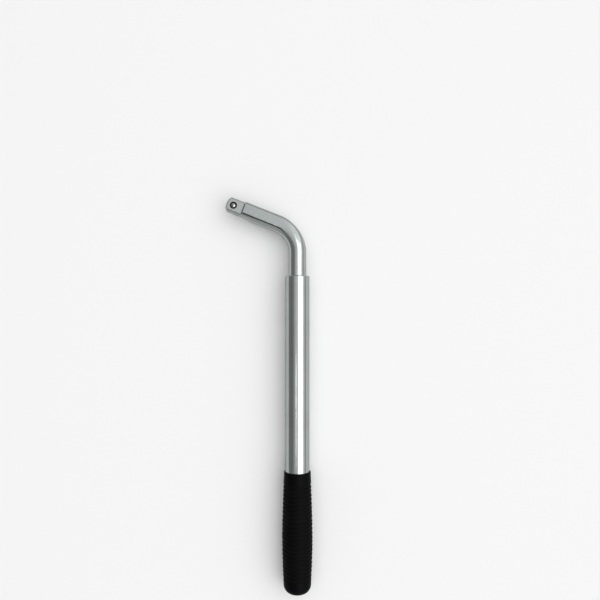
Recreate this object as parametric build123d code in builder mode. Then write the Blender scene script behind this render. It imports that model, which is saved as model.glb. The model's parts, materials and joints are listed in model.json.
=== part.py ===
"""Telescopic breaker bar with a half inch square drive.

Frame: origin at the centre of the grip's butt end, on the handle's axis. +X runs along the handle towards
the head, the arm of the head points to +Y, and +Z is up when the tool lies on its side. The tool is
modelled closed: the head sits close to the mouth of the tube. All sizes are in millimetres.
"""

import os
from math import cos, radians, sin, sqrt, tan

from build123d import *

os.makedirs("parts", exist_ok=True)

# ---- Driving dimensions --------------------------------------------------------------------------------

HANDLE_LENGTH = 287.0  # butt of the grip to the mouth of the tube
TRAVEL = 170.0  # closed to fully drawn out
RUNNING_GAP = 0.05  # radial clearance of every running fit
END_GAP = 0.1  # axial clearance between turning faces

TUBE_RADIUS = 11.0
TUBE_BORE_RADIUS = 9.0
TUBE_BUTT = 6.0  # where the tube ends inside the grip
LIP_THICKNESS = 1.8  # the rim is rolled in over the guide sleeve
LIP_BORE_RADIUS = 8.25
RIM_FILLET = 1.2

BAR_RADIUS = 8.0
BAR_END_CHAMFER = 0.6
CORNER_X = 327.4  # where the shank's axis meets the arm's axis
ARM_LENGTH = 68.4  # from that corner to the tip of the drive
ARM_RISE = 21.5  # degrees between the arm and a line square to the handle
BEND_RADIUS = 28.3  # of the centreline

ARM_FLATS = 14.4  # thickness of the forged arm between its upper and lower flats
ARM_OUTER_HALF = 7.2  # from the arm's axis out to the side that faces away from the handle
ARM_INNER_HALF = 8.0  # and out to the side that faces the handle
ARM_OUTER_CORNER = 2.8
ARM_INNER_BEVEL = 4.2  # the flat bevels on that side, measured along each face
FLAT_SWEEP = 60.0  # degrees of the round bar that each forged flat grows out of
DRIVE_FLATS = 12.7  # half inch square
DRIVE_CORNER_RADIUS = 1.9
DRIVE_LENGTH = 15.3
SHOULDER_LENGTH = 1.6  # the short ramp from the drive's square up to the arm's square
INNER_RAMP = 13.0  # the same ramp on the side that faces the handle, where it is drawn out longer
TIP_FLAT_RADIUS = 4.2  # the flat of the tip inside its turned chamfer
TIP_CHAMFER_WIDTH = 4.8
TIP_CHAMFER_LENGTH = 3.2

DRIVE_BALL_RADIUS = 2.5
DRIVE_BALL_FROM_TIP = 6.8
DRIVE_BALL_OUT = 0.9  # how far the ball stands out of the flat
BALL_RECESS_RADIUS = 3.3  # dished ring left by staking the edge
BALL_RECESS_DEPTH = 0.3
BALL_LIP_RADIUS = 2.3  # the staked edge that holds the ball in
BALL_LIP_THICKNESS = 0.3
BALL_HOLE_DEPTH = 10.4

PLUG_LENGTH = 12.0
PLUG_FLANGE = 1.5
PLUG_CHAMFER = 0.6
PIN_RADIUS = 1.5
PIN_WALL = 0.5
PIN_SLIT = 0.6
PIN_LENGTH = 21.4
PAD_THICKNESS = 3.0
PAD_RADIUS = 8.6
PAD_GAP = 0.3

PISTON_LENGTH = 25.0
PISTON_RADIUS = 8.9
PISTON_WEB = 8.0  # the wall that hangs on the shoulder screw
PISTON_COUNTERBORE_RADIUS = 6.3
PISTON_CHAMFER = 0.8
DETENT_FROM_REAR = 5.7
DETENT_BALL_RADIUS = 2.0
DETENT_OUT = 0.5  # how far each detent ball springs into a groove
GROOVE_CLEARANCE = 0.1

SCREW_SHOULDER_RADIUS = 4.0
SCREW_THREAD_RADIUS = 3.0
SCREW_THREAD_LENGTH = 11.0
SCREW_TIP_CHAMFER = 0.7
SCREW_HEAD_RADIUS = 6.0
SCREW_HEAD_HEIGHT = 5.0
SCREW_SOCKET = 5.0  # across the flats of the hexagon
SCREW_SOCKET_DEPTH = 2.8
TAPPED_DEPTH = 13.0
WASHER_THICKNESS = 0.8
WASHER_RADIUS = 7.4
WASHER_HOLE_RADIUS = 4.1

DETENT_WIRE_RADIUS = 0.25
DETENT_COIL_RADIUS = 1.5
DETENT_TURNS = 11
DRIVE_WIRE_RADIUS = 0.3
DRIVE_COIL_RADIUS = 1.8
DRIVE_TURNS = 6
COIL_END_GAP = 0.03

GRIP_LENGTH = 110.0
GRIP_WALL_AT_BUTT = 4.5
GRIP_BUTT_FLAT_RADIUS = 4.5
GRIP_BUTT_ROUND = 8.0
GRIP_SIDE = [(8.0, 12.5), (30.0, 13.5), (53.0, 13.85), (82.0, 13.15), (109.4, 12.15)]  # (x, radius)
GRIP_LIP_ROUND = 0.6
RIB_PITCH = 3.8
RIB_GROOVES = 23
RIB_FIRST = 6.5  # along the side, from the end of the butt's round to the first groove
RIB_GROOVE_RADIUS = 1.15
RIB_GROOVE_DEPTH = 0.65

# ---- Places worked out from them -----------------------------------------------------------------------

TURN = 90.0 - ARM_RISE
TANGENT = BEND_RADIUS * tan(radians(TURN / 2))
ARM_DIRECTION = Vector(sin(radians(ARM_RISE)), cos(radians(ARM_RISE)), 0)
ARM_ACROSS = Vector(-cos(radians(ARM_RISE)), sin(radians(ARM_RISE)), 0)
CORNER = Vector(CORNER_X, 0, 0)
BEND_START = CORNER - Vector(TANGENT, 0, 0)
BEND_END = CORNER + ARM_DIRECTION * TANGENT
TIP = CORNER + ARM_DIRECTION * ARM_LENGTH
SHOULDER_FOOT = TIP - ARM_DIRECTION * DRIVE_LENGTH
SHOULDER_TOP = SHOULDER_FOOT - ARM_DIRECTION * SHOULDER_LENGTH

PIN_X = TUBE_BUTT + PLUG_LENGTH / 2
PLUG_FRONT = TUBE_BUTT + PLUG_LENGTH
PISTON_REAR = PLUG_FRONT + PAD_THICKNESS + PAD_GAP
PISTON_FRONT = PISTON_REAR + PISTON_LENGTH
PISTON_WEB_REAR = PISTON_FRONT - PISTON_WEB
BAR_END = PISTON_FRONT + END_GAP + WASHER_THICKNESS
SLEEVE_REAR = PISTON_FRONT + TRAVEL + END_GAP
SLEEVE_FRONT = HANDLE_LENGTH - LIP_THICKNESS
DETENT_X = PISTON_REAR + DETENT_FROM_REAR
DETENT_BALL_Z = TUBE_BORE_RADIUS - RUNNING_GAP - DETENT_BALL_RADIUS
SCREW_HEAD_FRONT = PISTON_WEB_REAR - END_GAP

DRIVE_FLAT_Z = DRIVE_FLATS / 2
DRIVE_BALL_CENTRE_Z = DRIVE_FLAT_Z + DRIVE_BALL_OUT - DRIVE_BALL_RADIUS
DRIVE_BALL_FOOT = TIP - ARM_DIRECTION * DRIVE_BALL_FROM_TIP  # on the arm's axis, under the ball


def across_the_shank(x):
    """A plane square to the handle's axis at x, with +Y as its own x and +Z as its own y."""
    return Plane(origin=(x, 0, 0), x_dir=(0, 1, 0), z_dir=(1, 0, 0))


def across_the_arm(point):
    """A plane square to the arm's axis at point, turned like the one across the shank."""
    return Plane(origin=point, x_dir=ARM_ACROSS, z_dir=ARM_DIRECTION)


def arm_section():
    """The forged arm's section: rounded corners on the outer side, bevels on the side towards the handle."""
    with Locations(((ARM_INNER_HALF - ARM_OUTER_HALF) / 2, 0)):
        Rectangle(ARM_INNER_HALF + ARM_OUTER_HALF, ARM_FLATS)
    corners = vertices().sort_by(Axis.X)
    fillet(corners[:2], radius=ARM_OUTER_CORNER)
    corners = vertices().sort_by(Axis.X)
    chamfer(corners[-2:], length=ARM_INNER_BEVEL)


def coil_reach(ball_radius, coil_radius, wire_radius):
    """How far from a ball's centre the last turn of a coil lies when its wire just clears the ball."""
    return sqrt((ball_radius + wire_radius) ** 2 - coil_radius**2) + COIL_END_GAP


def save(part, name):
    """Labels a finished piece and writes it to its own file."""
    part.label = name
    export_step(part, f"parts/{name}.step")


# ---- Handle --------------------------------------------------------------------------------------------

# The outer tube: its rim is rolled in at the mouth, two ring grooves in the bore catch the detent balls,
# and a cross hole takes the pin of the end plug.
with BuildPart() as outer_tube:
    with BuildSketch():
        with BuildLine():
            Polyline(
                (TUBE_BUTT, TUBE_BORE_RADIUS),
                (TUBE_BUTT, TUBE_RADIUS),
                (HANDLE_LENGTH, TUBE_RADIUS),
                (HANDLE_LENGTH, LIP_BORE_RADIUS),
                (SLEEVE_FRONT, LIP_BORE_RADIUS),
                (SLEEVE_FRONT, TUBE_BORE_RADIUS),
                close=True,
            )
        make_face()
        fillet(vertices().sort_by_distance((HANDLE_LENGTH, TUBE_RADIUS))[0], radius=RIM_FILLET)
        with Locations(*[(DETENT_X + drawn, DETENT_BALL_Z + DETENT_OUT) for drawn in (0, TRAVEL)]):
            Circle(DETENT_BALL_RADIUS + GROOVE_CLEARANCE, mode=Mode.SUBTRACT)
    revolve(axis=Axis.X)
    with Locations(Plane(origin=(PIN_X, -TUBE_RADIUS, 0), z_dir=(0, -1, 0))):
        Hole(PIN_RADIUS)
save(outer_tube.part, "outer_tube")

# The guide sleeve, pressed into the mouth. The bar runs in it, and the piston stops against its rear end.
with BuildPart() as guide_sleeve:
    with BuildSketch(across_the_shank(SLEEVE_REAR)):
        Circle(TUBE_BORE_RADIUS)
        Circle(BAR_RADIUS + RUNNING_GAP, mode=Mode.SUBTRACT)
    extrude(amount=SLEEVE_FRONT - SLEEVE_REAR)
save(guide_sleeve.part, "guide_sleeve")

# The end plug, pushed in from the butt until its flange meets the tube.
with BuildPart() as tube_end_plug:
    with BuildSketch(across_the_shank(TUBE_BUTT - PLUG_FLANGE)):
        Circle(TUBE_RADIUS)
    extrude(amount=PLUG_FLANGE)
    with BuildSketch(across_the_shank(TUBE_BUTT)):
        Circle(TUBE_BORE_RADIUS)
    extrude(amount=PLUG_LENGTH)
    chamfer(edges().group_by(Axis.X)[-1], length=PLUG_CHAMFER)
    with Locations(Plane(origin=(PIN_X, -TUBE_RADIUS, 0), z_dir=(0, -1, 0))):
        Hole(PIN_RADIUS)
save(tube_end_plug.part, "tube_end_plug")

# The slit spring pin through the tube and the plug. The grip covers both its ends.
with BuildPart() as plug_roll_pin:
    with BuildSketch(Plane(origin=(PIN_X, PIN_LENGTH / 2, 0), z_dir=(0, -1, 0))):
        Circle(PIN_RADIUS)
        Circle(PIN_RADIUS - PIN_WALL, mode=Mode.SUBTRACT)
        with Locations((PIN_RADIUS, 0)):
            Rectangle(PIN_RADIUS * 2, PIN_SLIT, mode=Mode.SUBTRACT)
    extrude(amount=PIN_LENGTH)
save(plug_roll_pin.part, "plug_roll_pin")

# The rubber pad on the plug, which the piston lands on when the tool is pushed closed.
with BuildPart() as buffer_pad:
    with BuildSketch(across_the_shank(PLUG_FRONT)):
        Circle(PAD_RADIUS)
    extrude(amount=PAD_THICKNESS)
    chamfer(edges().group_by(Axis.X)[-1], length=PLUG_CHAMFER)
save(buffer_pad.part, "buffer_pad")

# The rubber grip: a closed, barrel-shaped sleeve with ring grooves between its smooth lip and smooth tail.
with BuildPart() as grip_sleeve:
    with BuildSketch():
        with BuildLine():
            wall = Line((TUBE_BUTT - PLUG_FLANGE, 0), (TUBE_BUTT - PLUG_FLANGE, TUBE_RADIUS))
            bore = Line(wall @ 1, (GRIP_LENGTH, TUBE_RADIUS))
            butt = Line((TUBE_BUTT - PLUG_FLANGE, 0), (0, 0))
            flat = Line(butt @ 1, (0, GRIP_BUTT_FLAT_RADIUS))
            tail = RadiusArc(flat @ 1, GRIP_SIDE[0], GRIP_BUTT_ROUND)
            side = Spline(*GRIP_SIDE)
            lip = RadiusArc(side @ 1, (GRIP_LENGTH, GRIP_SIDE[-1][1] - GRIP_LIP_ROUND), GRIP_LIP_ROUND)
            Line(lip @ 1, bore @ 1)
        make_face()
        groove_marks = [
            side.position_at(RIB_FIRST + i * RIB_PITCH, position_mode=PositionMode.LENGTH)
            for i in range(RIB_GROOVES)
        ]
        with Locations(*[mark + (0, RIB_GROOVE_RADIUS - RIB_GROOVE_DEPTH) for mark in groove_marks]):
            Circle(RIB_GROOVE_RADIUS, mode=Mode.SUBTRACT)
    revolve(axis=Axis.X)
save(grip_sleeve.part, "grip_sleeve")

# ---- Piston, which slides in the tube -----------------------------------------------------------------

with BuildPart() as guide_piston:
    with BuildSketch(across_the_shank(PISTON_REAR)):
        Circle(PISTON_RADIUS)
    extrude(amount=PISTON_LENGTH)
    chamfer(edges().group_by(Axis.X)[0] + edges().group_by(Axis.X)[-1], length=PISTON_CHAMFER)
    with Locations(Plane(origin=(PISTON_REAR, 0, 0), z_dir=(-1, 0, 0))):
        CounterBoreHole(
            radius=SCREW_SHOULDER_RADIUS + RUNNING_GAP,
            counter_bore_radius=PISTON_COUNTERBORE_RADIUS,
            counter_bore_depth=PISTON_LENGTH - PISTON_WEB,
        )
    with Locations(Plane(origin=(DETENT_X, 0, PISTON_RADIUS), z_dir=(0, 0, 1))):
        Hole(DETENT_BALL_RADIUS + RUNNING_GAP)
save(guide_piston.part, "guide_piston")

# One spring pushes both detent balls outwards. It spans the open counterbore.
detent_reach = DETENT_BALL_Z - coil_reach(DETENT_BALL_RADIUS, DETENT_COIL_RADIUS, DETENT_WIRE_RADIUS)
with BuildPart() as detent_spring:
    with BuildLine() as detent_coil:
        Helix(
            pitch=2 * detent_reach / DETENT_TURNS,
            height=2 * detent_reach,
            radius=DETENT_COIL_RADIUS,
            center=(DETENT_X, 0, -detent_reach),
        )
    with BuildSketch(Plane(origin=detent_coil.line @ 0, z_dir=detent_coil.line % 0)):
        Circle(DETENT_WIRE_RADIUS)
    sweep(path=detent_coil.line, is_frenet=True)
save(detent_spring.part, "detent_spring")

# The balls are drawn pressed in, level with the bore, beside the groove that they spring into.
for name, side_of_axis in (("detent_ball_upper", 1), ("detent_ball_lower", -1)):
    with BuildPart() as detent_ball:
        with Locations((DETENT_X, 0, side_of_axis * DETENT_BALL_Z)):
            Sphere(DETENT_BALL_RADIUS)
    save(detent_ball.part, name)

# ---- Bar, which turns on the piston -------------------------------------------------------------------

# The shoulder screw holds the piston on the end of the bar and lets it turn.
with BuildPart() as shoulder_screw:
    with BuildSketch(across_the_shank(SCREW_HEAD_FRONT - SCREW_HEAD_HEIGHT)):
        Circle(SCREW_HEAD_RADIUS)
    extrude(amount=SCREW_HEAD_HEIGHT)
    chamfer(edges().group_by(Axis.X)[0], length=PLUG_CHAMFER)
    with BuildSketch(across_the_shank(SCREW_HEAD_FRONT)):
        Circle(SCREW_SHOULDER_RADIUS)
    extrude(amount=BAR_END - SCREW_HEAD_FRONT)
    with BuildSketch(across_the_shank(BAR_END)):
        Circle(SCREW_THREAD_RADIUS)
    extrude(amount=SCREW_THREAD_LENGTH)
    chamfer(edges().group_by(Axis.X)[-1], length=SCREW_TIP_CHAMFER)
    with BuildSketch(across_the_shank(SCREW_HEAD_FRONT - SCREW_HEAD_HEIGHT)):
        RegularPolygon(radius=SCREW_SOCKET / 2, side_count=6, major_radius=False)
    extrude(amount=SCREW_SOCKET_DEPTH, mode=Mode.SUBTRACT)
save(shoulder_screw.part, "shoulder_screw")

# The brass washer that the piston turns against.
with BuildPart() as thrust_washer:
    with BuildSketch(across_the_shank(BAR_END - WASHER_THICKNESS)):
        Circle(WASHER_RADIUS)
        Circle(WASHER_HOLE_RADIUS, mode=Mode.SUBTRACT)
    extrude(amount=WASHER_THICKNESS)
save(thrust_washer.part, "thrust_washer")

# The bar: round shank, bend that passes from round to the forged square, square arm, half inch drive.
with BuildPart() as drive_bar:
    with BuildSketch(across_the_shank(BAR_END)):
        Circle(BAR_RADIUS)
    extrude(amount=BEND_START.X - BAR_END)
    chamfer(edges().group_by(Axis.X)[0], length=BAR_END_CHAMFER)

    with BuildLine() as bend:
        CenterArc(
            center=BEND_START + Vector(0, BEND_RADIUS, 0),
            radius=BEND_RADIUS,
            start_angle=-90,
            arc_size=TURN,
        )
    # The circle is drawn as eight arcs, so that it has the same edges as the rounded square.
    with BuildSketch(across_the_shank(BEND_START.X)):
        with BuildLine():
            for quarter in range(4):
                flat_from = quarter * 90 - FLAT_SWEEP / 2
                CenterArc((0, 0), BAR_RADIUS, start_angle=flat_from, arc_size=FLAT_SWEEP)
                CenterArc((0, 0), BAR_RADIUS, start_angle=flat_from + FLAT_SWEEP, arc_size=90 - FLAT_SWEEP)
        make_face()
    with BuildSketch(across_the_arm(BEND_END)):
        arm_section()
    sweep(path=bend.line, multisection=True)

    with BuildSketch(across_the_arm(BEND_END)):
        arm_section()
    extrude(amount=(SHOULDER_TOP - BEND_END).length)

    with BuildSketch(across_the_arm(SHOULDER_TOP)):
        arm_section()
    with BuildSketch(across_the_arm(SHOULDER_FOOT)):
        RectangleRounded(DRIVE_FLATS, DRIVE_FLATS, DRIVE_CORNER_RADIUS)
    loft()

    with BuildSketch(across_the_arm(SHOULDER_FOOT)):
        RectangleRounded(DRIVE_FLATS, DRIVE_FLATS, DRIVE_CORNER_RADIUS)
    extrude(amount=DRIVE_LENGTH)

    # The long ramp on the side that faces the handle.
    with BuildSketch(Plane(origin=SHOULDER_FOOT, x_dir=ARM_DIRECTION, z_dir=(0, 0, 1))):
        with BuildLine():
            Polyline(
                (0, DRIVE_FLATS / 2),
                (0, ARM_INNER_HALF),
                (-INNER_RAMP, ARM_INNER_HALF),
                close=True,
            )
        make_face()
    extrude(amount=ARM_FLATS / 2, both=True, mode=Mode.SUBTRACT)

    # The turned chamfer of the tip.
    with BuildSketch(Plane(origin=TIP, x_dir=ARM_DIRECTION, z_dir=(0, 0, 1))):
        with BuildLine():
            Polyline(
                (0, TIP_FLAT_RADIUS),
                (0, TIP_FLAT_RADIUS + TIP_CHAMFER_WIDTH),
                (-TIP_CHAMFER_LENGTH, TIP_FLAT_RADIUS + TIP_CHAMFER_WIDTH),
                close=True,
            )
        make_face()
    revolve(axis=Axis(TIP, ARM_DIRECTION), mode=Mode.SUBTRACT)

    # The ball's hole, its staked lip and the dished ring round it.
    lip_top = DRIVE_FLAT_Z - BALL_RECESS_DEPTH
    lip_foot = lip_top - BALL_LIP_THICKNESS
    hole_radius = DRIVE_BALL_RADIUS + RUNNING_GAP
    with BuildSketch(Plane(origin=DRIVE_BALL_FOOT, x_dir=ARM_DIRECTION, z_dir=-ARM_ACROSS)):
        with BuildLine():
            Polyline(
                (0, DRIVE_FLAT_Z - BALL_HOLE_DEPTH),
                (hole_radius, DRIVE_FLAT_Z - BALL_HOLE_DEPTH),
                (hole_radius, lip_foot),
                (BALL_LIP_RADIUS, lip_foot),
                (BALL_LIP_RADIUS, lip_top),
                (BALL_RECESS_RADIUS, DRIVE_FLAT_Z),
                (0, DRIVE_FLAT_Z),
                close=True,
            )
        make_face()
    revolve(axis=Axis(DRIVE_BALL_FOOT, (0, 0, 1)), mode=Mode.SUBTRACT)

    # The tapped hole for the shoulder screw.
    with Locations(Plane(origin=(BAR_END, 0, 0), z_dir=(-1, 0, 0))):
        Hole(SCREW_THREAD_RADIUS, depth=TAPPED_DEPTH)
save(drive_bar.part, "drive_bar")

# ---- Detent of the square drive -----------------------------------------------------------------------

with BuildPart() as drive_ball:
    with Locations(DRIVE_BALL_FOOT + Vector(0, 0, DRIVE_BALL_CENTRE_Z)):
        Sphere(DRIVE_BALL_RADIUS)
save(drive_ball.part, "drive_ball")

coil_foot = DRIVE_FLAT_Z - BALL_HOLE_DEPTH + DRIVE_WIRE_RADIUS + COIL_END_GAP
coil_top = DRIVE_BALL_CENTRE_Z - coil_reach(DRIVE_BALL_RADIUS, DRIVE_COIL_RADIUS, DRIVE_WIRE_RADIUS)
with BuildPart() as drive_ball_spring:
    with BuildLine() as drive_coil:
        Helix(
            pitch=(coil_top - coil_foot) / DRIVE_TURNS,
            height=coil_top - coil_foot,
            radius=DRIVE_COIL_RADIUS,
            center=DRIVE_BALL_FOOT + Vector(0, 0, coil_foot),
        )
    with BuildSketch(Plane(origin=drive_coil.line @ 0, z_dir=drive_coil.line % 0)):
        Circle(DRIVE_WIRE_RADIUS)
    sweep(path=drive_coil.line, is_frenet=True)
save(drive_ball_spring.part, "drive_ball_spring")
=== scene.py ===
"""Looks of the telescopic breaker bar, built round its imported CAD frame.

Everything is in metres in the CAD's frame: the origin is at the grip's butt end, +X runs along the handle to
the head, the head's arm points to +Y, and +Z is up. The tool lies on its side under a camera that looks
straight down.

The four pieces that show, the bar, its ball, the tube and the grip, are made again here as finer meshes to
the CAD's sizes. The pieces inside the tube keep their CAD meshes and get materials of their own.
"""

import json
from math import acos, atan2, ceil, cos, degrees, exp, hypot, pi, radians, sin, sqrt, tan

import bmesh
import bpy
from mathutils import Matrix, Vector, noise


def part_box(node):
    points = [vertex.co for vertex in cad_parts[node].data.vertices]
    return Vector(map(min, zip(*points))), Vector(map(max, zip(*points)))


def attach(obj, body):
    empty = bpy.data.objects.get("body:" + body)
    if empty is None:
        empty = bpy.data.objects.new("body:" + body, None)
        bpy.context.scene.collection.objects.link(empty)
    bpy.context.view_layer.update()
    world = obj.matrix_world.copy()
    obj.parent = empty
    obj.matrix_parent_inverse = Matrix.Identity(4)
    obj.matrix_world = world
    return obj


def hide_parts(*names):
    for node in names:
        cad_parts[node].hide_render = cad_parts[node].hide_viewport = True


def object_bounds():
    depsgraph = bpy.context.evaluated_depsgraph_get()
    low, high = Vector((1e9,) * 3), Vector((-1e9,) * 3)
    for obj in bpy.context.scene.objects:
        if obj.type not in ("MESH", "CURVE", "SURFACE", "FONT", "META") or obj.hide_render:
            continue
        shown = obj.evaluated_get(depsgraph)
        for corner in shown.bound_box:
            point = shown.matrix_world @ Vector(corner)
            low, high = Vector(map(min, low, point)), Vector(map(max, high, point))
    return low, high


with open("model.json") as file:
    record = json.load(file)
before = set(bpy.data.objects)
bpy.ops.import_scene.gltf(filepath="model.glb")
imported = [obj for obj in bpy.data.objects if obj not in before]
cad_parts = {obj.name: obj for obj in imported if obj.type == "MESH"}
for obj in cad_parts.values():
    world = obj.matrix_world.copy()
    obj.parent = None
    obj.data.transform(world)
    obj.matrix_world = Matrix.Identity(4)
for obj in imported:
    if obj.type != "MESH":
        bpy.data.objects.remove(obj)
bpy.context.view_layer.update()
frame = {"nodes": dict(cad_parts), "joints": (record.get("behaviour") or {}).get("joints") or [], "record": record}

MM = 0.001

# ---- Sizes read from the frame -------------------------------------------------------------------------

mounts = {mount["name"]: mount for mount in frame["record"]["mounts"]}
TIP = Vector(mounts["drive_tip"]["pos_m"])
ARM = Vector(mounts["drive_tip"]["axis"]).normalized()
ACROSS = Vector((-ARM.y, ARM.x, 0))  # square to the arm, on the side that faces the handle
UP = Vector((0, 0, 1))

bar_low, bar_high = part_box("drive_bar")
BAR_END = bar_low.x
BAR_RADIUS = bar_high.z
tube_low, tube_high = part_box("outer_tube")
TUBE_BUTT = tube_low.x
TUBE_MOUTH = tube_high.x
TUBE_RADIUS = tube_high.z
sleeve_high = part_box("guide_sleeve")[1]
TUBE_BORE = sleeve_high.z
SLEEVE_FRONT = sleeve_high.x
ball_low, ball_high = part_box("drive_ball")
BALL_CENTRE = (ball_low + ball_high) / 2
BALL_RADIUS = (ball_high.z - ball_low.z) / 2
GRIP_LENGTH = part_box("grip_sleeve")[1].x
PLUG_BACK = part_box("tube_end_plug")[0].x
detent_low, detent_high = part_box("detent_ball_upper")
DETENT_X = (detent_low.x + detent_high.x) / 2
TRAVEL = next(joint["range_m"][1] for joint in frame["joints"] if joint["name"] == "bar_extension")

# ---- Sizes that the CAD model names but the frame doesn't say ---------------------------------------------

BEND_RADIUS = 28.3 * MM
ARM_OUTER_HALF = 7.2 * MM  # also half the arm's thickness
ARM_INNER_HALF = 8 * MM
ARM_OUTER_CORNER = 2.8 * MM
ARM_INNER_BEVEL = 4.2 * MM
BEVEL_EDGE = 1.5 * MM  # how far the bevels' edges are rounded over
DRIVE_HALF = 6.35 * MM
DRIVE_CORNER = 1.9 * MM
DRIVE_LENGTH = 15.3 * MM
SHANK_CHAMFER = 0.6 * MM
SHOULDER_LENGTH = 1.6 * MM
INNER_RAMP = 13 * MM
TIP_FLAT = 4.2 * MM
TIP_SLOPE = 4.8 / 3.2  # how fast the turned tip widens, going back
TIP_ROUND = 0.1 * MM  # of the tip's flat into its cone
TIP_EDGE = 0.35 * MM  # how far the cone's edge on the flats is rounded over
FORGE_WAVE = 0.05 * MM  # height of the forging's waves
WORN_FLAT = 0.015 * MM  # depth of the flat that is worn on the ball's crown
HOLE_RADIUS = BALL_RADIUS + 0.05 * MM
HOLE_DEPTH = 10.4 * MM
LIP_RADIUS = 2.3 * MM
RECESS_RADIUS = 3.3 * MM
RECESS_DEPTH = 0.3 * MM
SCREW_HOLE_RADIUS = 3 * MM
SCREW_HOLE_DEPTH = 13 * MM
RIM_BORE = 8.25 * MM
RIM_FILLET = 1.2 * MM
GROOVE_RADIUS = 2.1 * MM
GROOVE_CENTRE = TUBE_BORE - 1.55 * MM
GRIP_SIDE = [(8.0, 12.5), (30.0, 13.5), (53.0, 13.85), (82.0, 13.15), (109.4, 12.15)]  # (x, radius), mm
GRIP_SKIN = 0.02 * MM  # keeps the curve through GRIP_SIDE inside the CAD model's own
GRIP_BUTT_FLAT = 4.5 * MM
GRIP_BUTT_ROUND = 8.0 * MM
GRIP_LIP_ROUND = 0.6 * MM
RIB_MOUTH_ROUND = 0.45 * MM
RIB_PITCH = 3.8 * MM
RIB_GROOVES = 23
RIB_FIRST = 14.5 * MM
RIB_GROOVE_RADIUS = 1.15 * MM
RIB_GROOVE_DEPTH = 0.65 * MM

corner_back = TIP.y / ARM.y  # from the tip back to where the arm's axis meets the handle's
CORNER = TIP - ARM * corner_back
TURN = acos(ARM.x)
TANGENT = BEND_RADIUS * tan(TURN / 2)
BEND_START = CORNER - Vector((TANGENT, 0, 0))
BEND_END = CORNER + ARM * TANGENT
BEND_CENTRE = BEND_START + Vector((0, BEND_RADIUS, 0))
ARM_BACK = (TIP - BEND_END).length
BEND_BACK = ARM_BACK + BEND_RADIUS * TURN  # both are distances from the tip, along the bar's centreline

AROUND = 144  # points round each ring of the bar and the tube
GRIP_AROUND = 120
BALL_AROUND = 96
GRIP_STEPS = 560  # rings along the grip's ribbed side
CAP_RADIUS = 1 * MM  # of the small faces that close the grip on its axis


# ---- Mesh helpers --------------------------------------------------------------------------------------


def smooth(t):
    """0 to 1 with a level start and end."""
    t = min(max(t, 0.0), 1.0)
    return t * t * (3 - 2 * t)


def mix(a, b, t):
    return a + (b - a) * t


def soft_min(a, b, width):
    """The smaller of two lengths, rounded off where they are about equal."""
    near = max(width - abs(a - b), 0.0) / width
    return min(a, b) - near * near * width / 4


def arc(x, r, radius, start, end, steps):
    """Points of an arc in a lathe's profile, as (x, radius from the axis). Angles in degrees from +X."""
    angles = [radians(mix(start, end, i / steps)) for i in range(steps + 1)]
    return [(x + radius * cos(a), r + radius * sin(a)) for a in angles]


def finish_mesh(name, bm, sharp_degrees=32):
    """A smooth-shaded object from the bmesh, with real edges kept sharp."""
    bmesh.ops.recalc_face_normals(bm, faces=bm.faces)
    mesh = bpy.data.meshes.new(name)
    bm.to_mesh(mesh)
    bm.free()
    mesh.shade_smooth()
    mesh.set_sharp_from_angle(angle=radians(sharp_degrees))
    piece = bpy.data.objects.new(name, mesh)
    bpy.context.scene.collection.objects.link(piece)
    return piece


def skin(rings, loop=False):
    """Joins each ring of points to the next. Unless the rings close on themselves, both ends are capped."""
    bm = bmesh.new()
    rows = [[bm.verts.new(point) for point in ring] for ring in rings]
    pairs = list(zip(rows, rows[1:]))
    if loop:
        pairs.append((rows[-1], rows[0]))
    count = len(rows[0])
    for low, high in pairs:
        for i in range(count):
            j = (i + 1) % count
            bm.faces.new((low[i], low[j], high[j], high[i]))
    if not loop:
        bm.faces.new(rows[0])
        bm.faces.new(rows[-1])
    return bm


def lathe_rings(profile, around, origin=Vector((0, 0, 0)), axis=Vector((1, 0, 0)), side=Vector((0, 1, 0))):
    """A ring of points for each (distance along the axis, radius) of the profile."""
    third = axis.cross(side)
    turns = [2 * pi * i / around for i in range(around)]
    spokes = [side * cos(turn) + third * sin(turn) for turn in turns]
    return [[origin + axis * x + spoke * r for spoke in spokes] for x, r in profile]


def applied(piece):
    """Applies a piece's modifiers."""
    graph = bpy.context.evaluated_depsgraph_get()
    mesh = bpy.data.meshes.new_from_object(piece.evaluated_get(graph))
    piece.modifiers.clear()
    piece.data = mesh
    return piece


def carve(piece, cutter):
    """Cuts the cutter's shape out of the piece, then removes the cutter."""
    cut = piece.modifiers.new("cut", "BOOLEAN")
    cut.operation = "DIFFERENCE"
    cut.solver = "EXACT"
    cut.object = cutter
    bpy.context.view_layer.update()
    applied(piece)
    bpy.data.objects.remove(cutter)


# ---- The bar -------------------------------------------------------------------------------------------


def square_reach(turn, half, side, corner):
    """How far a rounded rectangle reaches from its centre at that turn."""
    a = abs(cos(turn))
    b = abs(sin(turn))
    flat_a = half - corner
    flat_b = side - corner
    if b * half <= a * flat_b:
        return half / a
    if a * side <= b * flat_a:
        return side / b
    along = a * flat_a + b * flat_b
    return along + sqrt(max(along**2 - flat_a**2 - flat_b**2 + corner**2, 0.0))


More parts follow.
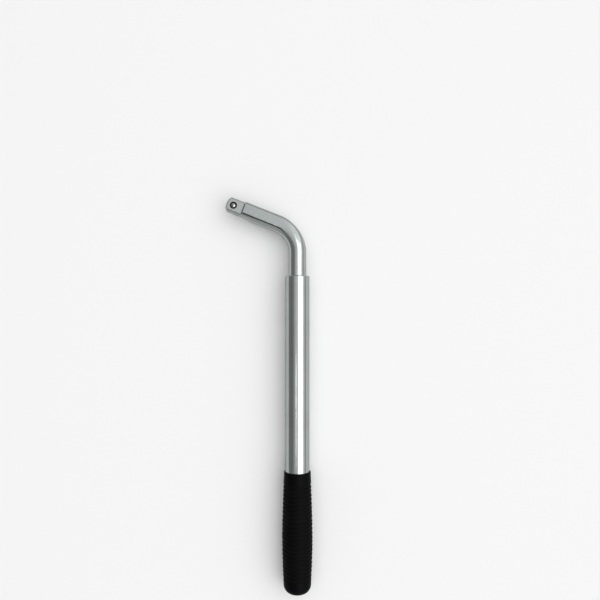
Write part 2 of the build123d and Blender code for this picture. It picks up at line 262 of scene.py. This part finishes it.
def bar_reach(back, turn):
    """How far the bar reaches from its centreline at that turn and distance back from the tip. Turn 0 faces
    the handle."""
    if back <= DRIVE_LENGTH:
        return square_reach(turn, DRIVE_HALF, DRIVE_HALF, DRIVE_CORNER)
    step = smooth((back - DRIVE_LENGTH) / SHOULDER_LENGTH)
    side = mix(DRIVE_HALF, ARM_OUTER_HALF, step)
    if cos(turn) > 0:
        half = mix(DRIVE_HALF, ARM_INNER_HALF, min((back - DRIVE_LENGTH) / INNER_RAMP, 1.0))
        reach = square_reach(turn, half, side, DRIVE_CORNER)
        # The bevel leans at 45 degrees, so across plus up is the same all over it.
        bevel_sum = mix(2 * DRIVE_HALF, ARM_INNER_HALF + ARM_OUTER_HALF - ARM_INNER_BEVEL, step)
        bevel = bevel_sum / (cos(turn) + abs(sin(turn)))
        reach = soft_min(reach, bevel, BEVEL_EDGE)
    else:
        reach = square_reach(turn, side, side, mix(DRIVE_CORNER, ARM_OUTER_CORNER, step))
    return mix(reach, BAR_RADIUS, smooth((back - ARM_BACK) / (BEND_BACK - ARM_BACK)))


def bar_place(back):
    """(centre, across direction) of the bar's section, back from the tip along its centreline."""
    if back <= ARM_BACK:
        return TIP - ARM * back, ACROSS
    if back >= BEND_BACK:
        return BEND_START - Vector((back - BEND_BACK, 0, 0)), Vector((0, 1, 0))
    turn = (BEND_BACK - back) / BEND_RADIUS
    inward = Vector((-sin(turn), cos(turn), 0))
    return BEND_CENTRE - inward * BEND_RADIUS, inward


def forged(point, back):
    """The low waves that the dies leave on the arm and the bend, as a distance out of the surface."""
    drive_fades = smooth((back - DRIVE_LENGTH - SHOULDER_LENGTH) / (4 * MM))
    shank_fades = 1 - smooth((back - ARM_BACK) / (BEND_BACK - ARM_BACK))
    wave = noise.noise(point / (9 * MM)) + 0.45 * noise.noise(point / (3.5 * MM))
    return FORGE_WAVE * wave * drive_fades * shank_fades


def bar_ring(back):
    centre, across = bar_place(back)
    cone = TIP_FLAT + TIP_SLOPE * (back - TIP_ROUND * exp(-back / TIP_ROUND))
    ring = []
    for i in range(AROUND):
        turn = 2 * pi * (i + 0.5) / AROUND
        reach = bar_reach(back, turn)
        reach = soft_min(reach, cone, TIP_EDGE)
        out = across * cos(turn) + UP * sin(turn)
        reach += forged(centre + out * reach, back)
        ring.append(centre + out * reach)
    return ring


def spread(start, end, step):
    """Evenly spaced values from start up to, and without, end."""
    count = max(1, ceil((end - start) / step))
    return [mix(start, end, i / count) for i in range(count)]


def make_bar():
    shoulder_top = DRIVE_LENGTH + SHOULDER_LENGTH
    bar_back = BEND_BACK + BEND_START.x - BAR_END
    backs = spread(0, 4 * MM, 0.1 * MM)
    backs += spread(4 * MM, DRIVE_LENGTH, 0.75 * MM)
    backs += spread(DRIVE_LENGTH, shoulder_top, 0.1 * MM)
    backs += spread(shoulder_top, ARM_BACK, 0.6 * MM)
    backs += spread(ARM_BACK, BEND_BACK, 0.6 * MM)
    backs += spread(BEND_BACK, bar_back - SHANK_CHAMFER, 20 * MM)
    rings = [bar_ring(back) for back in backs]
    # The shank's end: its chamfer, its face, and the hole for the shoulder screw.
    end = [
        (SHANK_CHAMFER, BAR_RADIUS),
        (0, BAR_RADIUS - SHANK_CHAMFER),
        (0, SCREW_HOLE_RADIUS + 0.3 * MM),
        (0.3 * MM, SCREW_HOLE_RADIUS),
        (SCREW_HOLE_DEPTH, SCREW_HOLE_RADIUS),
    ]
    turns = [2 * pi * (i + 0.5) / AROUND for i in range(AROUND)]
    for x, r in end:
        rings.append([Vector((BAR_END + x, r * cos(turn), r * sin(turn))) for turn in turns])
    bar = finish_mesh("drive_bar_finished", skin(rings))

    # The ball's hole with its staked lip, and the dished ring that staking leaves.
    top = DRIVE_HALF
    lip = top - RECESS_DEPTH
    under_lip = lip - RECESS_DEPTH
    profile = [
        (top - HOLE_DEPTH, HOLE_RADIUS),
        (under_lip, HOLE_RADIUS),
        (under_lip, LIP_RADIUS + 0.05 * MM),
        (under_lip + 0.05 * MM, LIP_RADIUS),
        (lip - 0.05 * MM, LIP_RADIUS),
        (lip, LIP_RADIUS + 0.05 * MM),
        (lip + 0.03 * MM, RECESS_RADIUS - 0.35 * MM),
        (lip + 0.12 * MM, RECESS_RADIUS - 0.1 * MM),
        (top, RECESS_RADIUS),
        (top + 1 * MM, RECESS_RADIUS + 0.2 * MM),
    ]
    foot = Vector((BALL_CENTRE.x, BALL_CENTRE.y, 0))
    rings = lathe_rings(profile, BALL_AROUND, origin=foot, axis=UP, side=ARM)
    carve(bar, finish_mesh("ball_hole_cutter", skin(rings)))
    bar.data.shade_smooth()
    bar.data.set_sharp_from_angle(angle=radians(30))
    return bar


def make_ball():
    """A ball with the faint polished flat that sockets wear on its crown."""
    profile = []
    for x, r in arc(0, 0, BALL_RADIUS, 179.4, 0.6, 64):
        profile.append((min(x, BALL_RADIUS - WORN_FLAT), r))
    rings = lathe_rings(profile, BALL_AROUND, BALL_CENTRE, UP, ARM)
    return finish_mesh("drive_ball_finished", skin(rings))


# ---- The tube ------------------------------------------------------------------------------------------


def bore_groove(x):
    """The profile of a ring groove for the detent balls, from its front edge to its rear one."""
    edge = degrees(acos((TUBE_BORE - GROOVE_CENTRE) / GROOVE_RADIUS))
    return arc(x, GROOVE_CENTRE, GROOVE_RADIUS, 90 - edge, 90 + edge, 16)


def make_tube():
    edge = 0.3 * MM
    profile = [(TUBE_BUTT, TUBE_BORE + edge), (TUBE_BUTT, TUBE_RADIUS - edge)]
    profile += [(TUBE_BUTT + edge, TUBE_RADIUS)]
    profile += spread_along(TUBE_BUTT + edge, TUBE_MOUTH - RIM_FILLET, TUBE_RADIUS, 12)
    profile += arc(TUBE_MOUTH - RIM_FILLET, TUBE_RADIUS - RIM_FILLET, RIM_FILLET, 90, 0, 12)
    profile += arc(TUBE_MOUTH - edge, RIM_BORE + edge, edge, 0, -90, 5)
    profile += [(SLEEVE_FRONT, RIM_BORE), (SLEEVE_FRONT, TUBE_BORE)]
    profile += bore_groove(DETENT_X + TRAVEL)
    profile += bore_groove(DETENT_X)
    profile += [(TUBE_BUTT + edge, TUBE_BORE)]
    return finish_mesh("outer_tube_finished", skin(lathe_rings(profile, AROUND), loop=True))


def spread_along(start, end, radius, count):
    """Points between start and end of a straight stretch of a profile."""
    return [(mix(start, end, i / count), radius) for i in range(1, count)]


# ---- The grip ------------------------------------------------------------------------------------------


def side_radius(x):
    """The grip's outline without its ribs: a smooth curve through GRIP_SIDE."""
    points = [(px * MM, pr * MM) for px, pr in GRIP_SIDE]
    slopes = []
    for i in range(len(points)):
        before = points[max(i - 1, 0)]
        after = points[min(i + 1, len(points) - 1)]
        slopes.append((after[1] - before[1]) / (after[0] - before[0]))
    for i in range(len(points) - 1):
        (x0, r0), (x1, r1) = points[i], points[i + 1]
        if x <= x1 or i == len(points) - 2:
            break
    span = x1 - x0
    t = (x - x0) / span
    return (
        (1 + 2 * t) * (1 - t) ** 2 * r0
        + t * (1 - t) ** 2 * span * slopes[i]
        + t * t * (3 - 2 * t) * r1
        + t * t * (t - 1) * span * slopes[i + 1]
    )


def rib_cut(x):
    """How deep the nearest ring groove is at x. Its mouth is rounded over, as moulded rubber is."""
    number = min(max(round((x - RIB_FIRST) / RIB_PITCH), 0), RIB_GROOVES - 1)
    offset = abs(x - RIB_FIRST - number * RIB_PITCH)
    mouth = sqrt(RIB_GROOVE_RADIUS**2 - (RIB_GROOVE_RADIUS - RIB_GROOVE_DEPTH) ** 2)
    share = offset / (mouth + RIB_MOUTH_ROUND)
    if share >= 1:
        return 0.0
    return RIB_GROOVE_DEPTH * (1 - share**2) * smooth(1.25 * (1 - share))


def make_grip():
    tail_x = GRIP_SIDE[0][0] * MM
    tail_r = GRIP_SIDE[0][1] * MM
    lip_x = GRIP_SIDE[-1][0] * MM
    lip_r = GRIP_SIDE[-1][1] * MM
    profile = [(PLUG_BACK, CAP_RADIUS), (PLUG_BACK, TUBE_RADIUS), (GRIP_LENGTH, TUBE_RADIUS)]
    # The rounded lip.
    profile += arc(GRIP_LENGTH - GRIP_LIP_ROUND, lip_r - GRIP_LIP_ROUND, GRIP_LIP_ROUND, 0, 90, 6)
    # The ribbed side, from the lip to the butt.
    for i in range(1, GRIP_STEPS):
        x = mix(lip_x, tail_x, i / GRIP_STEPS)
        profile.append((x, side_radius(x) - GRIP_SKIN - rib_cut(x)))
    # The rounded butt: the arc of that radius that joins the side to the small flat.
    profile += arc_between((tail_x, tail_r), (0, GRIP_BUTT_FLAT), GRIP_BUTT_ROUND, 24)
    profile += [(0, CAP_RADIUS)]
    grip = finish_mesh("grip_sleeve_finished", skin(lathe_rings(profile, GRIP_AROUND)), 50)
    # How high each point stands on its rib: 1 on the crown, 0 at the foot of a groove.
    heights = grip.data.attributes.new("rib_height", "FLOAT", "POINT")
    for vertex, height in zip(grip.data.vertices, heights.data):
        height.value = 1 - rib_cut(vertex.co.x) / RIB_GROOVE_DEPTH
    return grip


def arc_between(start, end, radius, steps):
    """Points of the outward-bulging arc of that radius from start to end, in a lathe's profile."""
    (x0, r0), (x1, r1) = start, end
    half = hypot(x1 - x0, r1 - r0) / 2
    away = sqrt(radius**2 - half**2)
    # The centre lies on the axis's side of the chord.
    centre_x = (x0 + x1) / 2 + away * (r0 - r1) / (2 * half)
    centre_r = (r0 + r1) / 2 - away * (x0 - x1) / (2 * half)
    first = degrees(atan2(r0 - centre_r, x0 - centre_x))
    last = degrees(atan2(r1 - centre_r, x1 - centre_x))
    return arc(centre_x, centre_r, radius, first, last, steps)


# ---- Materials -----------------------------------------------------------------------------------------


class Paint:
    """One material's node tree, with short calls for the nodes that several materials share."""

    def __init__(self, name, settings):
        self.material = bpy.data.materials.new(name)
        self.material.use_nodes = True
        self.tree = self.material.node_tree
        self.tree.nodes.clear()
        self.shader = self.add("ShaderNodeBsdfPrincipled", settings)
        self.add("ShaderNodeOutputMaterial", {"Surface": self.shader.outputs["BSDF"]})
        self.place = self.add("ShaderNodeTexCoord", {}).outputs["Object"]

    def add(self, kind, inputs, **settings):
        """A node with its settings. Each input is a value, or another node's output to link."""
        made = self.tree.nodes.new(kind)
        for key, value in settings.items():
            setattr(made, key, value)
        for key, value in inputs.items():
            self.plug(value, made.inputs[key])
        return made

    def plug(self, value, socket):
        if isinstance(value, bpy.types.NodeSocket):
            self.tree.links.new(value, socket)
        else:
            socket.default_value = value

    def set(self, **values):
        """Links or sets the shader's inputs, such as Base_Color."""
        for key, value in values.items():
            self.plug(value, self.shader.inputs[key.replace("_", " ")])

    def math(self, operation, a, b=0.0):
        return self.add("ShaderNodeMath", {0: a, 1: b}, operation=operation).outputs[0]

    def dot(self, direction):
        """How far a point lies along a direction from the origin."""
        inputs = {0: self.place, 1: direction}
        return self.add("ShaderNodeVectorMath", inputs, operation="DOT_PRODUCT").outputs["Value"]

    def stretched(self, scale_x, scale_y, scale_z):
        """The place, scaled along each axis, for noise that is drawn out one way."""
        inputs = {"Vector": self.place, "Scale": (scale_x, scale_y, scale_z)}
        return self.add("ShaderNodeMapping", inputs).outputs[0]

    def noise(self, scale, detail=2.0, vector=None):
        """Noise from 0 to 1, with that many features a metre."""
        inputs = {"Vector": vector or self.place, "Scale": scale, "Detail": detail}
        return self.add("ShaderNodeTexNoise", inputs).outputs["Fac"]

    def ranged(self, value, low, high, to_low, to_high):
        """Maps low to high onto to_low to to_high, with level ends."""
        inputs = {"Value": value, "From Min": low, "From Max": high, "To Min": to_low, "To Max": to_high}
        made = self.add("ShaderNodeMapRange", inputs, interpolation_type="SMOOTHSTEP")
        return made.outputs["Result"]

    def blend(self, share, a, b):
        """Colour a where share is 0, colour b where it is 1."""
        made = self.add("ShaderNodeMix", {}, data_type="RGBA")
        self.plug(share, made.inputs[0])
        self.plug(a, made.inputs[6])
        self.plug(b, made.inputs[7])
        return made.outputs[2]

    def between(self, share, a, b):
        """Value a where share is 0, value b where it is 1."""
        made = self.add("ShaderNodeMix", {0: share, 2: a, 3: b}, data_type="FLOAT")
        return made.outputs[0]

    def bump(self, height, distance, below=None):
        """A bump of that full height in metres, on top of another bump."""
        inputs = {"Height": height, "Distance": distance, "Strength": 1.0}
        if below is not None:
            inputs["Normal"] = below
        return self.add("ShaderNodeBump", inputs).outputs["Normal"]


def grey(value, warmth=0.0):
    """A nearly neutral colour."""
    return (value * (1 + warmth), value, value * (1 - warmth), 1.0)


def chrome(value):
    """The plating's colour, a little towards green and blue."""
    return (value * 0.93, value, value * 0.985, 1.0)


def scratches(paint, vector):
    """Sparse thin marks, 1 on the mark and 0 off it, along the direction in which vector is drawn out."""
    return paint.ranged(paint.noise(1.0, 1.0, vector), 0.65, 0.68, 0.0, 1.0)


def tube_chrome():
    """Polished chrome with the marks of the polishing belt round the tube, and smudges from hands."""
    paint = Paint("tube_chrome", {"Metallic": 1.0, "Specular Tint": grey(0.7)})
    smudges = paint.noise(55.0, 5.0)
    belt = paint.noise(1.0, 3.0, paint.stretched(5200.0, 60.0, 60.0))
    hairlines = scratches(paint, paint.stretched(14.0, 1900.0, 1900.0))
    colour = paint.blend(paint.ranged(smudges, 0.35, 0.75, 0.0, 1.0), chrome(0.44), chrome(0.4))
    belt_roughness = paint.math("MULTIPLY", belt, 0.04)
    roughness = paint.math("ADD", paint.ranged(smudges, 0.4, 0.7, 0.06, 0.12), belt_roughness)
    roughness = paint.math("ADD", roughness, paint.math("MULTIPLY", hairlines, 0.1))
    normal = paint.bump(belt, 0.0012 * MM)
    normal = paint.bump(hairlines, -0.0015 * MM, normal)
    paint.set(Base_Color=colour, Roughness=roughness, Normal=normal)
    return paint.material


def bar_chrome():
    """Chrome over one forging: polished on the shank, satin with forging grain on the bend and the arm, and
    ground across on the square drive. The staked ring round the ball is darkened with painted shade."""
    paint = Paint("bar_chrome", {"Metallic": 1.0, "Specular Tint": grey(0.7)})
    along_arm = paint.dot(ARM)
    along_shank = paint.dot(Vector((1, 0, 0)))
    satin = paint.ranged(along_shank, BEND_START.x - 8 * MM, BEND_START.x + 24 * MM, 0.0, 1.0)
    tip = TIP.dot(ARM)
    ground = paint.ranged(along_arm, tip - DRIVE_LENGTH - 0.6 * MM, tip - DRIVE_LENGTH + 0.2 * MM, 0.0, 1.0)

    # Draw marks along the shank from sliding in the sleeve, forging grain on the arm, grinding on the drive.
    slide_marks = paint.noise(1.0, 3.0, paint.stretched(20.0, 2600.0, 2600.0))
    peel = paint.noise(420.0, 3.0)
    grain = paint.noise(2600.0, 4.0)
    lengthways = paint.math("MULTIPLY", along_arm, 4200.0)
    sideways = paint.math("MULTIPLY", paint.dot(ACROSS), 90.0)
    upways = paint.math("MULTIPLY", paint.dot(UP), 90.0)
    ground_place = paint.add("ShaderNodeCombineXYZ", {0: lengthways, 1: sideways, 2: upways}).outputs[0]
    grinding = paint.noise(1.0, 2.0, ground_place)
    smudges = paint.noise(70.0, 4.0)

    colour = paint.blend(paint.ranged(smudges, 0.35, 0.7, 0.0, 1.0), chrome(0.45), chrome(0.4))
    satin_colour = paint.blend(peel, chrome(0.45), chrome(0.38))
    colour = paint.blend(satin, colour, satin_colour)
    slide_roughness = paint.math("MULTIPLY", slide_marks, 0.05)
    polished = paint.math("ADD", paint.ranged(smudges, 0.4, 0.7, 0.07, 0.12), slide_roughness)
    peel_roughness = paint.math("MULTIPLY", peel, 0.06)
    forged_roughness = paint.math("ADD", paint.ranged(grain, 0.3, 0.7, 0.12, 0.18), peel_roughness)
    roughness = paint.between(satin, polished, forged_roughness)
    roughness = paint.between(ground, roughness, paint.ranged(grinding, 0.3, 0.7, 0.24, 0.36))

    # Painted shade: the dished ring and the ball's hole get a near-black colour and a rougher finish, never the
    # flats.
    to_ball = {0: paint.place, 1: (BALL_CENTRE.x, BALL_CENTRE.y, DRIVE_HALF)}
    from_ball = paint.add("ShaderNodeVectorMath", to_ball, operation="DISTANCE").outputs["Value"]
    painted_recess_shade = paint.ranged(from_ball, RECESS_RADIUS - 0.15 * MM, RECESS_RADIUS + 0.1 * MM, 1.0, 0.0)
    colour = paint.blend(painted_recess_shade, colour, grey(0.025, 0.05))
    roughness = paint.between(painted_recess_shade, roughness, 0.5)

    shank_height = paint.math("MULTIPLY", slide_marks, paint.math("SUBTRACT", 1.0, satin))
    normal = paint.bump(shank_height, 0.0015 * MM)
    forged_share = paint.math("MULTIPLY", satin, paint.math("SUBTRACT", 1.0, ground))
    normal = paint.bump(paint.math("MULTIPLY", peel, forged_share), 0.012 * MM, normal)
    normal = paint.bump(paint.math("MULTIPLY", grain, forged_share), 0.0025 * MM, normal)
    normal = paint.bump(paint.math("MULTIPLY", grinding, ground), 0.003 * MM, normal)
    paint.set(Base_Color=colour, Roughness=roughness, Normal=normal)
    return paint.material


def grip_rubber():
    """Black moulded rubber: a fine grain, crowns rubbed smoother by hands, a little dust in the grooves."""
    paint = Paint("grip_rubber", {"Specular IOR Level": 0.025})
    height = paint.add("ShaderNodeAttribute", {}, attribute_name="rib_height").outputs["Fac"]
    grain = paint.noise(3600.0, 4.0)
    blotches = paint.noise(120.0, 4.0)
    dust = paint.math("MULTIPLY", paint.ranged(height, 0.0, 0.5, 1.0, 0.0), blotches)
    rubber = paint.blend(blotches, (0.0018, 0.002, 0.0023, 1), (0.0028, 0.003, 0.0034, 1))
    rubbed = paint.ranged(height, 0.2, 1.0, 0.66, 0.46)
    grain_roughness = paint.ranged(grain, 0.3, 0.7, -0.04, 0.06)
    paint.set(
        Base_Color=paint.blend(dust, rubber, (0.007, 0.0068, 0.0066, 1)),
        Roughness=paint.math("ADD", rubbed, grain_roughness),
        Normal=paint.bump(blotches, 0.02 * MM, paint.bump(grain, 0.018 * MM)),
    )
    return paint.material


def pad_rubber():
    paint = Paint("pad_rubber", {"Specular IOR Level": 0.3})
    grain = paint.noise(2200.0, 5.0)
    colour = paint.blend(paint.noise(300.0, 3.0), (0.018, 0.018, 0.018, 1), (0.03, 0.029, 0.028, 1))
    roughness = paint.ranged(grain, 0.3, 0.7, 0.6, 0.8)
    paint.set(Base_Color=colour, Roughness=roughness, Normal=paint.bump(grain, 0.03 * MM))
    return paint.material


def turned_metal(name, dark, light, roughness):
    """Lathe-turned metal: fine rings round the handle's axis, in bands of a few tool passes."""
    paint = Paint(name, {"Metallic": 1.0})
    apart = paint.add("ShaderNodeSeparateXYZ", {0: paint.place}).outputs
    squares = paint.math("ADD", paint.math("POWER", apart[1], 2.0), paint.math("POWER", apart[2], 2.0))
    radius = paint.math("SQRT", squares)
    # Rings on the round faces follow x, and rings on the end faces follow the radius.
    turned_place = paint.add("ShaderNodeCombineXYZ", {0: apart[0], 1: radius, 2: 0.0}).outputs[0]
    rings = paint.noise(3400.0, 2.0, turned_place)
    bands = paint.noise(420.0, 2.0, turned_place)
    colour = paint.blend(paint.ranged(bands, 0.35, 0.65, 0.0, 1.0), dark, light)
    height = paint.math("ADD", rings, bands)
    paint.set(
        Base_Color=colour,
        Roughness=paint.ranged(rings, 0.3, 0.7, roughness - 0.06, roughness + 0.08),
        Normal=paint.bump(height, 0.004 * MM),
    )
    return paint.material


def drawn_metal(name, dark, light, roughness):
    """Wire and pin steel: drawn smooth, with a patchy film of oil."""
    paint = Paint(name, {"Metallic": 1.0})
    film = paint.noise(900.0, 3.0)
    fine = paint.noise(6000.0, 3.0)
    paint.set(
        Base_Color=paint.blend(film, dark, light),
        Roughness=paint.ranged(fine, 0.3, 0.7, roughness - 0.05, roughness + 0.1),
        Normal=paint.bump(fine, 0.003 * MM),
    )
    return paint.material


def ball_steel():
    """A polished bearing ball with a thin oil film and a few hair scratches."""
    paint = Paint("ball_steel", {"Metallic": 1.0})
    film = paint.noise(800.0, 3.0)
    hairlines = scratches(paint, paint.stretched(500.0, 5000.0, 900.0))
    scratch_roughness = paint.math("MULTIPLY", hairlines, 0.1)
    paint.set(
        Base_Color=paint.blend(film, grey(0.4, -0.005), grey(0.33, 0.005)),
        Roughness=paint.math("ADD", paint.ranged(film, 0.3, 0.7, 0.05, 0.1), scratch_roughness),
        Normal=paint.bump(hairlines, -0.002 * MM),
    )
    return paint.material


def floor_paper():
    """Pale studio paper with a barely visible tooth."""
    paint = Paint("floor_paper", {"Specular IOR Level": 0.1, "Roughness": 0.9})
    tooth = paint.noise(900.0, 4.0)
    paint.set(Base_Color=paint.blend(tooth, grey(0.86), grey(0.9)), Normal=paint.bump(tooth, 0.02 * MM))
    return paint.material


MATERIALS = {
    "tube_chrome": tube_chrome(),
    "bar_chrome": bar_chrome(),
    "grip_rubber": grip_rubber(),
    "pad_rubber": pad_rubber(),
    "machined_steel": turned_metal("machined_steel", grey(0.42), grey(0.5), 0.26),
    "plug_steel": turned_metal("plug_steel", grey(0.34), grey(0.4), 0.34),
    "screw_steel": turned_metal("screw_steel", grey(0.03), grey(0.055), 0.42),
    "washer_brass": turned_metal("washer_brass", (0.55, 0.38, 0.14, 1), (0.66, 0.47, 0.2, 1), 0.3),
    "spring_steel": drawn_metal("spring_steel", grey(0.26), grey(0.36, 0.02), 0.28),
    "ball_steel": ball_steel(),
}


# ---- The pieces ----------------------------------------------------------------------------------------


def place_piece(piece, node):
    """Puts a piece in a CAD node's stead, on its body, in its material."""
    body = next(name for name, nodes in frame["record"]["behaviour"]["bodies"].items() if node in nodes)
    slot = next(part["material_slot"] for part in frame["record"]["subparts"] if part["node"] == node)
    piece.data.materials.clear()
    piece.data.materials.append(MATERIALS[slot])
    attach(piece, body)
    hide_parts(node)


for part in frame["record"]["subparts"]:
    node = frame["nodes"][part["node"]]
    for socket in node.material_slots:
        socket.material = MATERIALS[part["material_slot"]]

place_piece(make_bar(), "drive_bar")
place_piece(make_ball(), "drive_ball")
place_piece(make_tube(), "outer_tube")
place_piece(make_grip(), "grip_sleeve")


# ---- Floor, light and camera ---------------------------------------------------------------------------

CAMERA_HEIGHT = 0.54
CAMERA_ALONG = 0.249  # from the butt
CAMERA_ASIDE = -0.0024
FRAME_CENTRE = 0.2652  # the closed tool sits low in a frame that the drawn-out tool would fill
FRAME_WIDTH = 0.5441  # of floor level with the handle's axis
FLOOR_SIZE = 30.0

LIGHT_HEIGHT = 1.0
MAIN_TILT = 28  # degrees from overhead, to the side away from the arm
MAIN_WIDTH = 0.7
MAIN_LENGTH = 1.8
MAIN_RADIANCE = 3.0
MAIN_ALONG = -0.3
STRIP_TILT = -12
STRIP_WIDTH = 0.045
STRIP_LENGTH = 0.5
STRIP_RADIANCE = 3.2
STRIP_ALONG = -0.1
FILL_HEIGHT = 1.5
FILL_TILT = 12
FILL_SIZE = 3.2
FILL_RADIANCE = 0.455
FILL_ALONG = 0.2

# What surrounds the tool, by the angle from overhead across the handle, towards the side away from the arm:
# (degrees, radiance).
SURROUNDINGS = [
    (-180, 0.7), (-95, 0.36), (-78, 0.3), (-50, 0.25), (-36, 0.38), (-20, 0.78), (0, 1.05),
    (30, 1.3), (48, 1.7), (60, 1.35), (72, 0.74), (84, 0.45), (96, 0.8), (180, 0.75),
]
END_RADIANCE = 0.6  # beyond the butt and beyond the head
# The dark gap between the lights goes on round from the arm's side to the butt's side, where it lies
# nearer to overhead. Its edges are slopes from the vertical.
GAP_START = 0.2
GAP_END = 1.3
GAP_ACROSS_SHARE = 0.45
GAP_RADIANCE = 0.02
# Where each edge of the gap starts and is complete, and where the surroundings turn into the two ends.
GAP_INNER_EDGE = (GAP_START, GAP_START + 0.1)
GAP_OUTER_EDGE = (GAP_END, GAP_END - 0.2)
GAP_BUTT_EDGE = (-0.1, -0.22)
GAP_ARM_EDGE = (0.0, 0.05)
GAP_TURN_EDGE = (1.6, 0.8)
GAP_LOW_EDGE = (0.1, 0.2)
END_EDGE = (0.45, 0.85)


def make_floor():
    low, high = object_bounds()
    bm = bmesh.new()
    bmesh.ops.create_grid(bm, x_segments=1, y_segments=1, size=FLOOR_SIZE / 2)
    bmesh.ops.translate(bm, verts=bm.verts, vec=((low[0] + high[0]) / 2, 0, low[2]))
    floor = finish_mesh("studio_floor", bm)
    floor.data.materials.append(floor_paper())


def make_light(name, tilt, width, length, radiance, along, seen_in_chrome=True):
    """A rectangular softbox that faces the handle, leaning tilt degrees from overhead towards the side away
    from the arm. It either shows in the chrome or lights the rest, so the tool's shadow is soft."""
    lamp = bpy.data.lights.new(name, "AREA")
    lamp.shape = "RECTANGLE"
    lamp.size = length
    lamp.size_y = width
    lamp.energy = radiance * pi * width * length
    light = bpy.data.objects.new(name, lamp)
    lean = radians(tilt)
    height = LIGHT_HEIGHT if seen_in_chrome else FILL_HEIGHT
    light.location = Vector((along, -sin(lean) * height, cos(lean) * height))
    light.rotation_euler = (lean, 0, 0)
    light.visible_diffuse = not seen_in_chrome
    light.visible_glossy = seen_in_chrome
    bpy.context.scene.collection.objects.link(light)


def make_surroundings():
    """A soft studio round the tool, lighter overhead and darker low on the arm's side."""
    world = bpy.data.worlds.new("studio")
    bpy.context.scene.world = world
    world.use_nodes = True
    tree = world.node_tree
    tree.nodes.clear()

    def add(kind, inputs, **settings):
        made = tree.nodes.new(kind)
        for key, value in settings.items():
            setattr(made, key, value)
        for key, value in inputs.items():
            if isinstance(value, bpy.types.NodeSocket):
                tree.links.new(value, made.inputs[key])
            else:
                made.inputs[key].default_value = value
        return made

    def math(operation, a, b=0.0):
        return add("ShaderNodeMath", {0: a, 1: b}, operation=operation).outputs[0]

    def step(value, low, high):
        inputs = {"Value": value, "From Min": low, "From Max": high}
        return add("ShaderNodeMapRange", inputs, interpolation_type="SMOOTHSTEP").outputs["Result"]

    direction = add("ShaderNodeTexCoord", {}).outputs["Generated"]
    along, across, up = add("ShaderNodeSeparateXYZ", {0: direction}).outputs
    angle = math("ARCTAN2", math("MULTIPLY", across, -1.0), up)
    share = add("ShaderNodeMapRange", {"Value": angle, "From Min": -pi, "From Max": pi}).outputs["Result"]
    ramp = add("ShaderNodeValToRGB", {"Fac": share})
    brightest = max(radiance for _, radiance in SURROUNDINGS)
    stops = ramp.color_ramp.elements
    for i, (turn, radiance) in enumerate(SURROUNDINGS):
        stop = stops[i] if i < len(stops) else stops.new(1.0)
        stop.position = (turn + 180) / 360
        stop.color = grey(radiance / brightest)

    slope_along = math("DIVIDE", along, up)
    slope_across = math("MULTIPLY", math("DIVIDE", across, up), GAP_ACROSS_SHARE)
    squares = math("ADD", math("POWER", slope_along, 2.0), math("POWER", slope_across, 2.0))
    slope = math("SQRT", squares)
    gap = math("MULTIPLY", step(slope, *GAP_INNER_EDGE), step(slope, *GAP_OUTER_EDGE))
    gap = math("MULTIPLY", gap, step(slope_along, *GAP_BUTT_EDGE))
    gap = math("MULTIPLY", gap, step(slope_across, *GAP_ARM_EDGE))
    aside = math("DIVIDE", across, math("ABSOLUTE", along))
    gap = math("MULTIPLY", gap, step(aside, *GAP_TURN_EDGE))
    gap = math("MULTIPLY", gap, step(up, *GAP_LOW_EDGE))

    def blend(share, a, b):
        return add("ShaderNodeMix", {0: share, 6: a, 7: b}, data_type="RGBA").outputs[2]

    endways = step(math("ABSOLUTE", along), *END_EDGE)
    colour = blend(endways, ramp.outputs["Color"], grey(END_RADIANCE / brightest))
    colour = blend(gap, colour, grey(GAP_RADIANCE / brightest))
    background = add("ShaderNodeBackground", {"Color": colour, "Strength": brightest})
    add("ShaderNodeOutputWorld", {"Surface": background.outputs["Background"]})


def make_camera():
    camera = bpy.data.cameras.new("camera")
    camera.angle = 2 * atan2(FRAME_WIDTH / 2, CAMERA_HEIGHT)
    camera.shift_y = (FRAME_CENTRE - CAMERA_ALONG) / FRAME_WIDTH
    camera.clip_start = 0.01
    holder = bpy.data.objects.new("camera", camera)
    # Straight down, with the head at the top of the frame and the arm to the left.
    turned = Matrix.Rotation(-pi / 2, 4, "Z")
    holder.matrix_world = Matrix.Translation((CAMERA_ALONG, CAMERA_ASIDE, CAMERA_HEIGHT)) @ turned
    bpy.context.scene.collection.objects.link(holder)
    bpy.context.scene.camera = holder


make_floor()
make_light("main_softbox", MAIN_TILT, MAIN_WIDTH, MAIN_LENGTH, MAIN_RADIANCE, MAIN_ALONG)
make_light("strip_softbox", STRIP_TILT, STRIP_WIDTH, STRIP_LENGTH, STRIP_RADIANCE, STRIP_ALONG)
make_light("fill_softbox", FILL_TILT, FILL_SIZE, FILL_SIZE, FILL_RADIANCE, FILL_ALONG, seen_in_chrome=False)
make_surroundings()
make_camera()
bpy.context.scene.view_settings.view_transform = "Standard"
